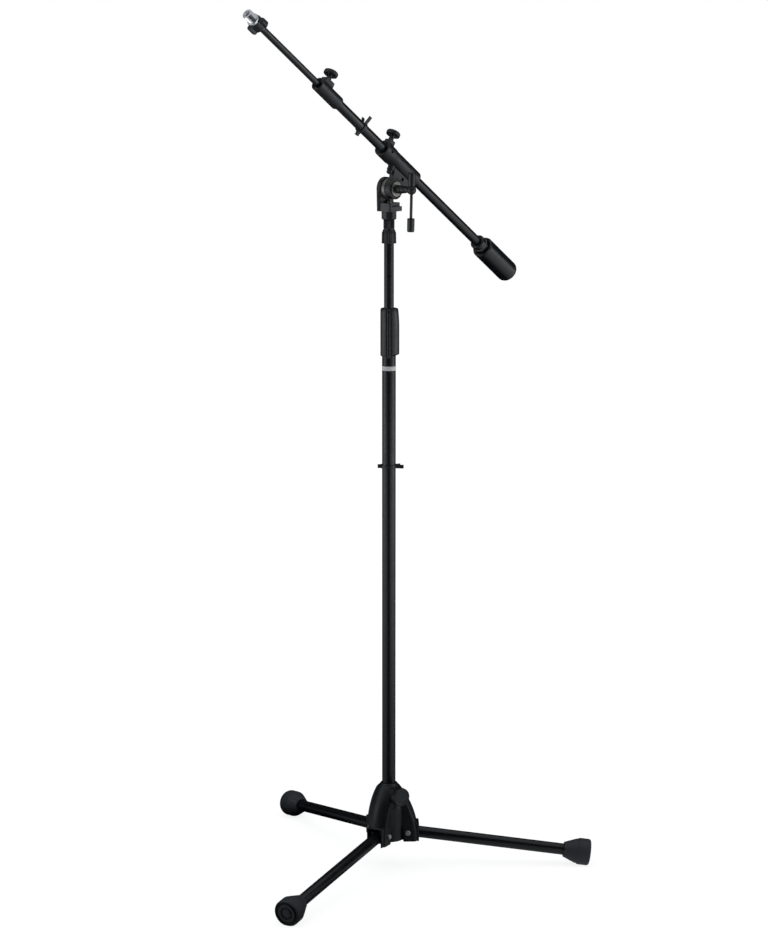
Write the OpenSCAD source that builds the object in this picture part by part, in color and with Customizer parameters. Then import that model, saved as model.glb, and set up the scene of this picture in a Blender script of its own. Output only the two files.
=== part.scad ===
// Tripod stand with a counterweighted telescopic boom that ends in a threaded adapter.
// Millimetres, +Z up. The origin is on the floor under the mast axis, and one leg points along +X.

/* [Stance] */
// Height of each leg's hinge pin above the floor
leg_pivot_z = 61.6; // [60.8:0.1:62.4]
// Distance of each hinge pin from the mast axis
leg_pivot_r = 31.4; // [31:0.1:32]
// Length from the hinge pin to the end of the foot
leg_reach = 309; // [280:1:340]
// Diameter of the leg tubes
leg_tube_d = 19.3; // [18:0.1:19.4]

/* [Foot] */
// Length of a rubber foot
foot_len = 44; // [42:1:48]
// Diameter of its thick end band
foot_band_d = 44.5; // [43:0.5:46]
// Diameter of its thin end
foot_neck_d = 26.5; // [25:0.5:28]
// Height of the foot's axis at its outer end
foot_axis_z = 20.1; // [19.5:0.1:21]

/* [Base casting] */
// Lowest point of the casting
hub_bottom = 46.5; // [46:0.5:48]
// Top of the casting
hub_top = 146; // [146:0.5:148]
// Half of a lobe's width
lobe_half = 17; // [16.5:0.1:17.5]
// Width of the pocket that a leg folds in
pocket_w = 23.4; // [23:0.1:24]
// Height of the clamp screw above the floor
base_knob_z = 129; // [127:0.5:130]

/* [Mast] */
// Diameter of the lower tube
lower_d = 22.4; // [22.2:0.1:22.4]
// Diameter of the upper tube
upper_d = 15.9; // [15.7:0.1:16]
// Wall of the steel tubes
tube_wall = 1.2; // [1:0.1:1.3]
// Top of the lower tube
lower_top = 932; // [925:1:935]
// Lower end of the upper tube
upper_bottom = 330; // [300:5:360]
// Height of the cable clip on the lower tube
mast_clip_z = 682; // [400:1:780]

/* [Height clutch] */
// Lower end of the grip
grip_bottom = 864; // [860:1:868]
// Top of the grip
grip_top = 942; // [940:1:944]

/* [Head] */
// Height of the tilt hinge
hinge_z = 1134.6; // [1130:0.1:1140]
// Direction that the boom points in plan, degrees from +X
head_yaw = 228.6; // [0:0.1:360]
// Boom angle above level
boom_tilt = 34.2; // [0:0.1:60]
// Radius of the yoke's upright ear
ear_r = 18.8; // [18:0.1:19]
// Radius of the holder's hinge boss
boss_r = 16.6; // [16:0.1:17]
// Distance from the hinge axis to the boom axis
boom_rise = 39.5; // [39:0.1:41]
// Distance of the boom axis from the mast's centre plane
boom_side = 10; // [9.5:0.1:10.5]

/* [T-handle] */
// Diameter of the sliding bar
bar_d = 4.6; // [4:0.1:5]
// Length of the sliding bar with its caps
bar_len = 95; // [90:0.1:100]
// Distance of the bar from the mast's centre plane
bar_side = 46.9; // [45:0.1:50]
// Lean of the bar from upright, degrees
bar_lean = 1.7; // [0:0.1:5]

/* [Boom] */
// Diameter of the boom tube
boom_d = 15.9; // [15.7:0.1:16]
// Diameter of the inner rod
rod_d = 10.5; // [10:0.1:11]
// Front end of the sleeve that clamps the rod
clamp_front = 249; // [246:1:252]
// Length of the clamp sleeve
clamp_len = 57; // [55:1:60]
// Position of the cable clip on the boom
boom_clip_u = 123; // [112:1:140]
// Rear end of the inner rod
rod_rear = -40; // [-60:1:-30]
// Tip of the threaded adapter
tip_u = 440; // [430:1:450]
// Diameter of the microphone thread
thread_d = 15.875; // [15.8:0.005:15.9]

/* [Counterweight] */
// Diameter of the weight
weight_d = 36.7; // [34:0.1:38]
// Length of the weight
weight_len = 88; // [80:1:95]
// Front face of the collar that carries the weight
weight_collar_u = -234.5; // [-240:0.5:-230]

/* [Hidden] */
$fn = 48;
// Shared fits
run = 0.05;
gap = 0.3;
// Legs
leg_r = leg_tube_d / 2;
leg_slope = asin((leg_pivot_z - foot_axis_z) / leg_reach);
leg_yaw = [0, 120, 240];
pin_r = 3;
block_half = 11;
block_out = 12;
heel_in = 16;
plug_end = 42;
tube_end = leg_reach - 12;
// Feet
cone_r = 20.5;
band_in = 23.8;
band_edge = 2.2;
// Base casting: a lobe's back is one circle turned about a level axis
back_r = 150;
back_x = 50 - back_r;
back_z = 48;
crown_r = 26;
wall_r = 15.5;
core_r = 26;
pocket_top = 80.5;
pocket_out = 43;
mouth_top = 76.5;
lip = 2.4;
lip_out = 50.4;
bush_r = 12.8;
bush_z = [50, 138];
screw_r = 3;
base_screw_r = 4;
base_boss_out = 31;
base_knob_r = 15.5;
base_knob_in = 33;
base_knob_t = 8.6;
// Mast
lower_r = lower_d / 2;
upper_r = upper_d / 2;
mast_foot_z = 44;
lower_bottom = 47;
upper_top = 1066;
label_z = [840.5, 847.5];
clutch_z = 882;
clutch_t = 1.5;
collet_z = 896;
collet_lip = 4;
stud_bottom = 1040;
yoke_bolt_z = 1086;
stud_r = 5;
lock_nut_z = [1047, 1070];
knurl_z = [1070.3, 1084.7];
collar_z = [1085, 1099];
yoke_z = [1099, 1112.5];
// Hinge stack, measured along the hinge axis
ear_side = [-10.4, -3.2];
disc_side = [-3.2, 3.4];
pad_side = [3.5, 4.7];
boss_side = [4.8, 15];
washer_side = [15.1, 16.6];
barrel_side = [16.7, 28];
bolt_r = 4;
bolt_head_r = 5.6;
ball_r = 7.6;
cap_r = 5.9;
cap_len = 22;
cap_z = 6;
// Holder
sleeve_u = [-35, 62];
sleeve_r = 13.25;
mouth_r = 14;
liner_r = 9.2;
holder_knob_u = 50.5;
stop_u = 25;
thumb_r = 11.5;
thumb_t = 6.5;
// Boom
boom_r = boom_d / 2;
boom_wall = 1.1;
rod_r = rod_d / 2;
tube_front = 225;
tube_rear = -262;
clamp_r = 11.1;
clamp_knob_u = 231;
thread_r = thread_d / 2;
neck_r = thread_r - 0.25;
liner_gap = 3.8;
wing_u = [405, 421];
// Counterweight
weight_r = weight_d / 2;
collar_rear = weight_collar_u - 10.5;
washer_rear = collar_rear - 1.2;
nut_rear = washer_rear - 9.8;
weight_front = nut_rear + 4;

// ---------- Places ----------

// A leg's own frame: x runs down the leg from its hinge pin, y along the pin
module leg_frame(k)
    rotate([0, 0, leg_yaw[k]]) translate([leg_pivot_r, 0, leg_pivot_z])
        rotate([0, leg_slope, 0]) children();

// z runs down the leg, from x
module along_leg(k, x)
    leg_frame(k) translate([x, 0, 0]) rotate([0, 90, 0]) children();

// The head's frame: x under the boom, y along the hinge axis towards the T-handle
module head_frame()
    translate([0, 0, hinge_z]) rotate([0, 0, head_yaw]) children();

// The sliding bar's frame: z runs up the bar from the T-handle's ball
module bar_frame()
    head_frame() translate([0, bar_side, 0]) rotate([0, -bar_lean, 0]) children();

// z runs along the hinge axis, from side
module on_hinge(side)
    head_frame() translate([0, side, 0]) rotate([-90, 0, 0]) children();

// The hinge's tilted frame: x along the boom, z away from the hinge
module tilt_frame()
    head_frame() rotate([0, -boom_tilt, 0]) children();

// The boom's frame: x along the boom axis towards the microphone
module boom_frame()
    tilt_frame() translate([0, boom_side, boom_rise]) children();

// z runs along the boom axis, from u
module on_boom(u)
    boom_frame() translate([u, 0, 0]) rotate([0, 90, 0]) children();

// z points away from the base clamp screw's inner end, square to the mast
module on_base_screw(r)
    translate([0, 0, base_knob_z]) rotate([0, 0, -60]) translate([r, 0, 0]) rotate([0, 90, 0]) children();

// ---------- Shared shapes ----------

// A ring or tube from height z[0] to z[1]
module ring(inner, outer, z)
    difference() {
        translate([0, 0, z[0]]) cylinder(r = outer, h = z[1] - z[0]);
        translate([0, 0, z[0] - 1]) cylinder(r = inner, h = z[1] - z[0] + 2);
    }

// A disc with rounded rims
module soft_disc(r, h, edge)
    rotate_extrude() {
        square([r - edge, h]);
        translate([0, edge]) square([r, h - 2 * edge]);
        for (z = [edge, h - edge]) translate([r - edge, z]) circle(edge, $fn = 24);
    }

// A rectangle with rounded corners, centred
module soft_plate(w, d, edge) {
    square([w, d - 2 * edge], center = true);
    square([w - 2 * edge, d], center = true);
    for (x = [-1, 1], y = [-1, 1])
        translate([x * (w / 2 - edge), y * (d / 2 - edge)]) circle(edge, $fn = 24);
}

// Thumb knob: a coin-shaped head, hollow underneath, on a short neck; z = 0 is the neck's lower end
module thumb_knob(neck)
    difference() {
        union() {
            cylinder(r = 4.6, h = neck + 2);
            translate([0, 0, neck]) soft_disc(thumb_r, thumb_t, 1.6);
        }
        translate([0, 0, neck - 1]) difference() {
            cylinder(r = 9.2, h = 3.5);
            cylinder(r = 4.6, h = 3.5);
        }
        for (a = [0 : 45 : 315]) rotate([0, 0, a])
            translate([thumb_r + 1.2, 0, neck - 1]) cylinder(r = 2, h = thumb_t + 2);
        translate([0, 0, -1]) cylinder(r = screw_r, h = neck + 4);
    }

// Clip that snaps on a tube about z, with two prongs along x that hold a cable
module cable_clip(tube_r) {
    t = 1.9;
    h = 6;
    outer = tube_r + t;
    translate([0, 0, -h / 2]) linear_extrude(h) difference() {
        union() {
            difference() {
                circle(outer);
                polygon([[0, 0], [2 * outer, -outer * 0.62], [2 * outer, outer * 0.62]]);
            }
            polygon([
                [tube_r * 0.93, -tube_r * 0.3], [tube_r + 12.8, -5.2], [tube_r + 12.8, -7.2],
                [tube_r * 0.93, -tube_r * 0.3 - t - 0.6]
            ]);
            polygon([
                [tube_r * 0.93, tube_r * 0.3], [tube_r + 7.5, 6.2], [tube_r + 7.5, 8.2],
                [tube_r * 0.93, tube_r * 0.3 + t + 0.6]
            ]);
        }
        circle(tube_r);
    }
    difference() {
        translate([-tube_r - 7.2, -3, -h / 2]) cube([6, 6, h]);
        translate([-tube_r - 5.4, -4, -h / 2 + 1.6]) cube([3, 8, h]);
    }
}

// ---------- Base ----------

// A lobe's section is a flat-sided strip with a crowned face, turned about a level axis
module lobe()
    intersection() {
        translate([back_x, 0, back_z]) rotate([90, 0, 0]) rotate_extrude($fn = 180) intersection() {
            translate([back_r - crown_r, 0]) circle(crown_r, $fn = 96);
            translate([back_r - crown_r, -lobe_half]) square([2 * crown_r, 2 * lobe_half]);
        }
        translate([0, -30, hub_bottom - 5]) cube([60, 60, hub_top - hub_bottom + 5]);
    }

module mouth_frame()
    translate([38, 0, 0]) rotate([90, 0, 90]) linear_extrude(lip_out - 38)
        translate([-pocket_w / 2 - lip, hub_bottom - 5])
            square([pocket_w + 2 * lip, mouth_top + lip + 4 - hub_bottom]);

// The pocket is higher inside than at its mouth, for the leg's heel to turn in
module leg_pocket()
    difference() {
        translate([0, pocket_w / 2, 0]) rotate([90, 0, 0]) linear_extrude(pocket_w)
            polygon([
                [0, hub_bottom - 1], [70, hub_bottom - 1], [70, mouth_top],
                [pocket_out, mouth_top], [pocket_out, pocket_top], [0, pocket_top]
            ]);
        translate([0, 0, hub_bottom - 2]) cylinder(r = wall_r, h = 60);
    }

module hub_core()
    rotate_extrude()
        polygon([
            [0, hub_bottom + 2], [core_r, hub_bottom + 2], [core_r, 105],
            [16.6, 139], [16.6, hub_top], [0, hub_top]
        ]);

module hub_limit()
    rotate_extrude()
        polygon([
            [0, hub_bottom], [60, hub_bottom], [60, 130], [24, 134], [17.5, 141.2],
            [16.6, 141.2], [14, hub_top - 0.8], [13.2, hub_top], [0, hub_top]
        ]);

module base_hub()
    color([0.09, 0.1, 0.1]) difference() {
        union() {
            intersection() {
                union() {
                    hub_core();
                    for (a = leg_yaw) rotate([0, 0, a]) lobe();
                    for (a = leg_yaw) rotate([0, 0, a]) mouth_frame();
                }
                hub_limit();
            }
            rotate([0, 0, -60]) translate([12, -10, base_knob_z - 12]) cube([base_boss_out - 12, 20, 24]);
        }
        for (a = leg_yaw) rotate([0, 0, a]) leg_pocket();
        for (a = leg_yaw) rotate([0, 0, a]) translate([leg_pivot_r, 0, leg_pivot_z])
            rotate([90, 0, 0]) translate([0, 0, -30]) cylinder(r = pin_r, h = 60);
        translate([0, 0, hub_bottom - 1]) cylinder(r = bush_r, h = bush_z[1] - hub_bottom + 1);
        translate([0, 0, bush_z[1] - 1]) cylinder(r = lower_r + gap, h = 20);
        on_base_screw(10) cylinder(r = base_screw_r + run, h = 30);
    }

module hub_bushing()
    color([0.16, 0.16, 0.16]) difference() {
        ring(lower_r + run, bush_r, bush_z);
        on_base_screw(8) cylinder(r = base_screw_r + gap, h = 10);
    }

// Each pin has a flat head on one side of its lobe and a domed nut on the other
module leg_pivot_pins()
    color([0.72, 0.72, 0.7]) for (a = leg_yaw) rotate([0, 0, a]) translate([leg_pivot_r, 0, leg_pivot_z])
        rotate([90, 0, 0]) {
            translate([0, 0, -lobe_half - 1]) cylinder(r = pin_r, h = 2 * lobe_half + 2);
            translate([0, 0, lobe_half]) soft_disc(4.4, 1.6, 0.6);
            translate([0, 0, -lobe_half - 4.6]) soft_disc(4.2, 4.6, 1.6);
        }

module base_knob_screw()
    color([0.6, 0.6, 0.6]) on_base_screw(lower_r + 0.1) cylinder(r = base_screw_r, h = 28);

module base_knob()
    color([0.12, 0.13, 0.13]) difference() {
        union() {
            on_base_screw(base_boss_out + gap) cylinder(r = 8, h = 4);
            on_base_screw(base_knob_in) soft_disc(base_knob_r, base_knob_t, 1.4);
        }
        on_base_screw(0) cylinder(r = base_screw_r, h = lower_r + 28.1);
    }

// ---------- Legs ----------

module leg_tube(k)
    color([0.09, 0.1, 0.1]) along_leg(k, block_out)
        ring(leg_r - tube_wall, leg_r, [0, tube_end - block_out]);

// Plug in the leg's inner end; its heel meets the casting when the leg is spread
module leg_hinge_end(k)
    color([0.14, 0.14, 0.14]) difference() {
        union() {
            leg_frame(k) rotate([90, 0, 0]) translate([0, 0, -block_half]) linear_extrude(2 * block_half) {
                circle(leg_r);
                translate([0, -leg_r]) square([block_out, 2 * leg_r]);
                translate([-heel_in, 0]) square([heel_in, leg_r]);
            }
            along_leg(k, block_out - 1) cylinder(r = leg_r - tube_wall, h = plug_end - block_out + 1);
        }
        leg_frame(k) rotate([90, 0, 0]) translate([0, 0, -20]) cylinder(r = pin_r + run, h = 40);
        translate([0, 0, 20]) cylinder(r = wall_r + gap, h = 100);
    }

// Rubber foot: a cone that swells to a band, with rings in its end face
module foot(k)
    color([0.2, 0.21, 0.22]) difference() {
        along_leg(k, leg_reach - foot_len) rotate_extrude() difference() {
            union() {
                polygon([
                    [0, 0], [foot_neck_d / 2 - 0.8, 0], [foot_neck_d / 2, 1.2], [cone_r, band_in - 3],
                    [cone_r, band_in], [foot_band_d / 2 - band_edge, band_in],
                    [foot_band_d / 2 - band_edge, foot_len], [0, foot_len]
                ]);
                translate([0, band_in + 0.2])
                    square([foot_band_d / 2, foot_len - band_in - 0.2 - band_edge]);
                for (x = [band_in + 0.4, foot_len - band_edge])
                    translate([foot_band_d / 2 - band_edge, x]) circle(band_edge, $fn = 24);
            }
            translate([15.4, foot_len - 4.5]) square([4, 6]);
            translate([7.8, foot_len - 3]) square([2.4, 5]);
        }
        along_leg(k, 200) cylinder(r = leg_r, h = tube_end - 200);
        translate([-500, -500, -20]) cube([1000, 1000, 20]);
    }

module leg_tube_right() leg_tube(0);
module leg_tube_rear() leg_tube(1);
module leg_tube_front() leg_tube(2);
module leg_hinge_end_right() leg_hinge_end(0);
module leg_hinge_end_rear() leg_hinge_end(1);
module leg_hinge_end_front() leg_hinge_end(2);
module foot_right() foot(0);
module foot_rear() foot(1);
module foot_front() foot(2);

// ---------- Mast ----------

module lower_tube()
    color([0.07, 0.08, 0.09]) ring(lower_r - tube_wall, lower_r, [lower_bottom, lower_top]);

module mast_bottom_plug()
    color([0.12, 0.12, 0.12]) {
        translate([0, 0, mast_foot_z]) cylinder(r = lower_r, h = lower_bottom - mast_foot_z);
        translate([0, 0, lower_bottom - 1]) cylinder(r = lower_r - tube_wall, h = 14);
    }

module mast_cable_clip()
    color([0.1, 0.11, 0.11]) translate([0, 0, mast_clip_z]) cable_clip(lower_r);

module mast_label()
    color([0.85, 0.85, 0.85]) ring(lower_r, lower_r + 0.15, label_z);

module clutch_body()
    color([0.2, 0.2, 0.2]) ring(lower_r, lower_r + clutch_t, [clutch_z, lower_top]);

// Split plastic ring that the grip squeezes on the upper tube
module clutch_collet()
    color([0.8, 0.8, 0.76]) difference() {
        union() {
            translate([0, 0, collet_z]) cylinder(r = lower_r - tube_wall, h = lower_top - collet_z + 1);
            translate([0, 0, lower_top]) cylinder(r = lower_r, h = collet_lip);
        }
        translate([0, 0, collet_z - 5]) cylinder(r = upper_r + run, h = 60);
        translate([0, -0.8, collet_z - 5]) cube([20, 1.6, 60]);
    }

module clutch_grip()
    color([0.13, 0.14, 0.14]) difference() {
        union() {
            translate([0, 0, grip_bottom]) soft_disc(14, grip_top - grip_bottom, 2.5);
            translate([3, 0.5, grip_bottom]) soft_disc(13.6, grip_top - grip_bottom - 2, 2.5);
            translate([-2.2, -11.5, grip_bottom - 4]) soft_disc(3.4, grip_top - grip_bottom + 1, 1.5);
        }
        translate([0, 0, grip_bottom - 10]) cylinder(r = lower_r + run, h = clutch_z - grip_bottom + 10);
        translate([0, 0, clutch_z - 2])
            cylinder(r = lower_r + clutch_t + run, h = lower_top + 7 - clutch_z);
        translate([0, 0, lower_top]) cylinder(r = upper_r + gap, h = 20);
    }

module upper_tube()
    color([0.07, 0.08, 0.09]) ring(upper_r - tube_wall, upper_r, [upper_bottom, upper_top]);

// Plastic slider on the lower end of the upper tube
module tube_guide()
    color([0.8, 0.8, 0.76]) difference() {
        union() {
            translate([0, 0, upper_bottom - 6]) cylinder(r = lower_r - tube_wall - run, h = 6);
            translate([0, 0, upper_bottom]) cylinder(r = upper_r - tube_wall, h = 18);
        }
        translate([0, 0, upper_bottom - 10]) cylinder(r = 4, h = 40);
    }

// Plug in the top of the upper tube; the head turns on its spigot
module tube_top_stud()
    color([0.6, 0.6, 0.6]) difference() {
        union() {
            translate([0, 0, stud_bottom]) cylinder(r = upper_r - tube_wall, h = upper_top - stud_bottom);
            translate([0, 0, upper_top]) cylinder(r = upper_r, h = knurl_z[0] - upper_top);
            translate([0, 0, knurl_z[0] - 1]) cylinder(r = stud_r, h = yoke_z[0] + 8 - knurl_z[0] + 1);
        }
        translate([0, 0, yoke_bolt_z - 6]) cylinder(r = screw_r, h = 40);
    }

module knurled_collar()
    color([0.14, 0.15, 0.15]) difference() {
        ring(stud_r, 9, knurl_z);
        for (a = [0 : 10 : 350]) rotate([0, 0, a]) translate([9.35, 0, knurl_z[0] - 1])
            cylinder(r = 0.6, h = 20, $fn = 4);
    }

module lock_nut()
    color([0.09, 0.1, 0.1]) difference() {
        rotate_extrude() difference() {
            union() {
                translate([0, lock_nut_z[0]]) square([12, lock_nut_z[1] - lock_nut_z[0] - 5]);
                translate([0, lock_nut_z[0]]) square([9.4, lock_nut_z[1] - lock_nut_z[0]]);
                translate([7, lock_nut_z[1] - 5]) circle(5, $fn = 48);
            }
            translate([0, lock_nut_z[1]]) square([20, 10]);
        }
        translate([0, 0, lock_nut_z[0] - 1]) cylinder(r = upper_r + run, h = 40);
        for (a = [15 : 45 : 330]) rotate([0, 0, a])
            translate([14.6, 0, lock_nut_z[0] - 1]) cylinder(r = 3.6, h = 40);
    }

module yoke_bolt()
    color([0.75, 0.75, 0.73]) {
        translate([0, 0, yoke_bolt_z]) cylinder(r = screw_r, h = yoke_z[1] + 1 - yoke_bolt_z);
        translate([0, 0, yoke_z[1] + run]) soft_disc(bolt_head_r, 2.8, 0.8);
    }

// ---------- Head ----------

// Base block with a notch in its front face and one upright ear; a channel lets the swivel bolt in
module yoke()
    color([0.12, 0.13, 0.13]) difference() {
        union() {
            head_frame() translate([0, 0, yoke_z[0] - hinge_z]) linear_extrude(yoke_z[1] - yoke_z[0]) {
                translate([1.8, 3.2]) soft_plate(31.6, 27.2, 2.5);
            }
            on_hinge(ear_side[0]) cylinder(r = ear_r, h = ear_side[1] - ear_side[0]);
            head_frame() translate([-14, ear_side[0], yoke_z[0] - hinge_z])
                cube([31.6, ear_side[1] - ear_side[0], 24]);
            head_frame() rotate([90, 0, 0]) translate([0, 0, -ear_side[1]])
                linear_extrude(ear_side[1] - ear_side[0])
                    polygon([
                        [-14, yoke_z[0] - hinge_z], [17.6, yoke_z[0] - hinge_z],
                        [ear_r - 0.1, -2], [2 - ear_r, -4]
                    ]);
        }
        head_frame() translate([-20, 11, yoke_z[1] - hinge_z - 6]) cube([33, 10, 10]);
        on_hinge(ear_side[0] - 1) cylinder(r = bolt_r, h = 20);
        translate([0, 0, yoke_z[0] - 1]) cylinder(r = stud_r + run, h = 9.2);
        translate([0, 0, yoke_z[0] - 1]) cylinder(r = screw_r + run, h = 30);
        translate([0, 0, yoke_z[1]]) cylinder(r = bolt_head_r + gap, h = 60);
    }

module head_collar()
    color([0.12, 0.13, 0.13]) difference() {
        intersection() {
            translate([0, 0, collar_z[0]]) soft_disc(12.3, collar_z[1] - collar_z[0], 1.2);
            rotate([0, 0, head_yaw]) translate([0, 0, collar_z[0] - 1]) cylinder(r = 12.9, h = 20, $fn = 8);
        }
        translate([0, 0, collar_z[0] - 1]) cylinder(r = stud_r + run, h = 20);
    }

module friction_disc()
    color([0.78, 0.78, 0.76]) on_hinge(0) ring(bolt_r, 16.9, disc_side);

// Pivot bolt through the yoke's ear; the T-handle screws on its far end
module clutch_bolt()
    color([0.5, 0.5, 0.5]) {
        on_hinge(ear_side[0] - 0.5) cylinder(r = bolt_r, h = 36 - ear_side[0] + 0.5);
        on_hinge(ear_side[0] - 5.5) cylinder(r = 7.5, h = 5.5, $fn = 6);
    }

// ---------- T-handle ----------

module clutch_washer()
    color([0.82, 0.82, 0.8]) on_hinge(0) ring(bolt_r + run, 12.3, washer_side);

module handle_barrel()
    color([0.1, 0.11, 0.11]) difference() {
        union() {
            on_hinge(barrel_side[0]) soft_disc(6.9, barrel_side[1] - barrel_side[0], 1);
            on_hinge(barrel_side[0] + 2) cylinder(r = 6, h = bar_side - barrel_side[0] - 2);
            on_hinge(bar_side) sphere(r = ball_r);
        }
        on_hinge(barrel_side[0] - 1) cylinder(r = bolt_r + run, h = 36.5 - barrel_side[0] + 1);
        bar_frame() translate([0, 0, -20]) cylinder(r = bar_d / 2 + run, h = 40);
    }

// The bar has slid down until its upper cap rests on the handle's ball
module handle_bar()
    color([0.12, 0.12, 0.12]) bar_frame()
        translate([0, 0, cap_z + cap_len - bar_len + 2]) cylinder(r = bar_d / 2, h = bar_len - 4);

// Each cap has a hollow that fits over the ball at the end of the bar's travel
module bar_cap()
    difference() {
        translate([0, 0, cap_z]) soft_disc(cap_r, cap_len, 1.2);
        sphere(r = ball_r + gap);
        cylinder(r = bar_d / 2, h = cap_z + cap_len - 2);
    }

module bar_caps()
    color([0.14, 0.15, 0.16]) bar_frame() {
        bar_cap();
        translate([0, 0, 2 * (cap_z + cap_len) - bar_len]) mirror([0, 0, 1]) bar_cap();
    }

// ---------- Boom holder ----------

module boom_holder()
    color([0.12, 0.13, 0.13]) difference() {
        union() {
            on_hinge(boss_side[0]) cylinder(r = boss_r, h = boss_side[1] - boss_side[0]);
            on_boom(sleeve_u[0]) soft_disc(sleeve_r, sleeve_u[1] - sleeve_u[0] - 2, 1);
            on_boom(35) soft_disc(mouth_r, sleeve_u[1] - 35, 0.8);
            tilt_frame() rotate([90, 0, 0]) translate([0, 0, -boss_side[1] + 0.4])
                linear_extrude(boss_side[1] - boss_side[0] - 0.8)
                    polygon([[14.5, 8], [23, boom_rise - 8], [-33, boom_rise - 8], [-15.5, 6]]);
            boom_frame() translate([holder_knob_u - 6, -6.5, 0]) cube([12, 13, 20]);
            boom_frame() translate([stop_u, 0, -19.5]) cylinder(r = 5.6, h = 11.5);
        }
        on_hinge(boss_side[0] - 1) cylinder(r = bolt_r + run, h = 20);
        on_hinge(boss_side[1] - 0.8) difference() {
            cylinder(r = boss_r - 1.6, h = 5);
            cylinder(r = boss_r - 3.2, h = 5);
        }
        on_boom(sleeve_u[0] - 1) cylinder(r = liner_r, h = 120);
        on_boom(sleeve_u[1] - 2) cylinder(r = 11, h = 5);
        tilt_frame() translate([-6, 0, 21.5]) rotate([-90, 0, 0]) cylinder(r = 2.75, h = 30);
        boom_frame() translate([holder_knob_u, 11.5, 0]) rotate([-90, 0, 0]) cylinder(r = 2.5, h = 8);
        boom_frame() translate([holder_knob_u, 0, 0]) cylinder(r = screw_r + run, h = 40);
        boom_frame() translate([stop_u, 0, -30]) cylinder(r = screw_r, h = 30);
    }

module holder_stop_screw()
    color([0.2, 0.2, 0.2]) boom_frame() {
        translate([stop_u, 0, -20.5]) cylinder(r = screw_r, h = 10);
        translate([stop_u, 0, -25.6]) soft_disc(4.6, 6, 1.4);
    }

module friction_washer()
    color([0.1, 0.1, 0.1]) on_hinge(0) ring(bolt_r + run, boss_r, pad_side);

// Two plastic liners that the boom tube turns and slides in
module holder_bushings()
    color([0.16, 0.16, 0.16]) {
        on_boom(0) ring(boom_r + run, liner_r - run, [sleeve_u[0] + 2, holder_knob_u - liner_gap]);
        on_boom(0) ring(boom_r + run, liner_r - run, [holder_knob_u + liner_gap, sleeve_u[1] - 2.2]);
    }

module holder_knob()
    color([0.12, 0.13, 0.13]) boom_frame() translate([holder_knob_u, 0, 20.3]) thumb_knob(9.2);

module holder_knob_screw()
    color([0.6, 0.6, 0.6]) boom_frame()
        translate([holder_knob_u, 0, boom_r + 0.1]) cylinder(r = screw_r, h = 24);

// ---------- Boom ----------

module boom_tube()
    color([0.07, 0.08, 0.09]) on_boom(0) ring(boom_r - boom_wall, boom_r, [tube_rear, tube_front]);

module boom_clamp()
    color([0.1, 0.11, 0.11]) difference() {
        union() {
            on_boom(clamp_front - clamp_len) soft_disc(clamp_r, clamp_len, 1.2);
            boom_frame() translate([clamp_knob_u - 11, -6, 0]) cube([20, 12, 18]);
        }
        on_boom(clamp_front - clamp_len - 1)
            cylinder(r = boom_r, h = tube_front - clamp_front + clamp_len + 1);
        on_boom(tube_front - 1) cylinder(r = 8.5, h = 23);
        on_boom(clamp_front - 3) cylinder(r = 8.5, h = 5);
        boom_frame() translate([clamp_knob_u, 0, 0]) cylinder(r = screw_r + run, h = 30);
    }

module clamp_bushing()
    color([0.2, 0.2, 0.2]) difference() {
        on_boom(0) ring(rod_r + run, 8.5, [tube_front, clamp_front - 3]);
        boom_frame() translate([clamp_knob_u, 0, 0]) cylinder(r = screw_r + gap, h = 30);
    }

module boom_cable_clip()
    color([0.1, 0.11, 0.11]) on_boom(boom_clip_u) rotate([0, 0, 168]) cable_clip(boom_r);

module weight_collar()
    color([0.1, 0.11, 0.11]) on_boom(collar_rear) difference() {
        soft_disc(12.7, weight_collar_u - collar_rear, 2);
        translate([0, 0, -1]) cylinder(r = boom_r, h = 20);
    }

module weight_washer()
    color([0.6, 0.53, 0.45]) on_boom(0) ring(boom_r, 12.4, [washer_rear, collar_rear]);

module weight_nut()
    color([0.1, 0.1, 0.1]) on_boom(nut_rear) difference() {
        intersection() {
            cylinder(r = 13.6, h = washer_rear - nut_rear, $fn = 6);
            soft_disc(13.2, washer_rear - nut_rear, 1.2);
        }
        translate([0, 0, -1]) cylinder(r = boom_r, h = 20);
    }

// Threaded stud that carries the weight on the tube's end
module weight_stud()
    color([0.6, 0.6, 0.6]) {
        on_boom(tube_rear) cylinder(r = boom_r - boom_wall, h = 30);
        on_boom(tube_rear - 45) cylinder(r = 5, h = 46);
    }

module counterweight()
    color([0.09, 0.1, 0.1]) difference() {
        on_boom(weight_front - weight_len) soft_disc(weight_r, weight_len, 2.4);
        on_boom(weight_front - 7) cylinder(r = weight_r - 3.2, h = 10);
        on_boom(tube_rear) cylinder(r = boom_r, h = 20);
        on_boom(tube_rear - 45) cylinder(r = 5, h = 60);
    }

module clamp_knob()
    color([0.12, 0.13, 0.13]) boom_frame() translate([clamp_knob_u, 0, 18.3]) thumb_knob(8.4);

module clamp_knob_screw()
    color([0.6, 0.6, 0.6]) boom_frame()
        translate([clamp_knob_u, 0, rod_r + 0.1]) cylinder(r = screw_r, h = 24);

module boom_rod()
    color([0.08, 0.09, 0.1]) on_boom(rod_rear) cylinder(r = rod_r, h = wing_u[1] - rod_rear);

module rod_guide()
    color([0.8, 0.8, 0.76]) on_boom(0) ring(rod_r, boom_r - boom_wall - run, [rod_rear + 2, rod_rear + 14]);

module mic_thread()
    color([0.8, 0.8, 0.8]) difference() {
        union() {
            on_boom(wing_u[0] - 3) cylinder(r = neck_r, h = tip_u - wing_u[0] + 3);
            on_boom(wing_u[1] + 4) cylinder(r = thread_r, h = tip_u - wing_u[1] - 4);
        }
        on_boom(0) cylinder(r = rod_r, h = wing_u[1]);
        on_boom(tip_u - 12) cylinder(r = 4.2, h = 20);
    }

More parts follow.
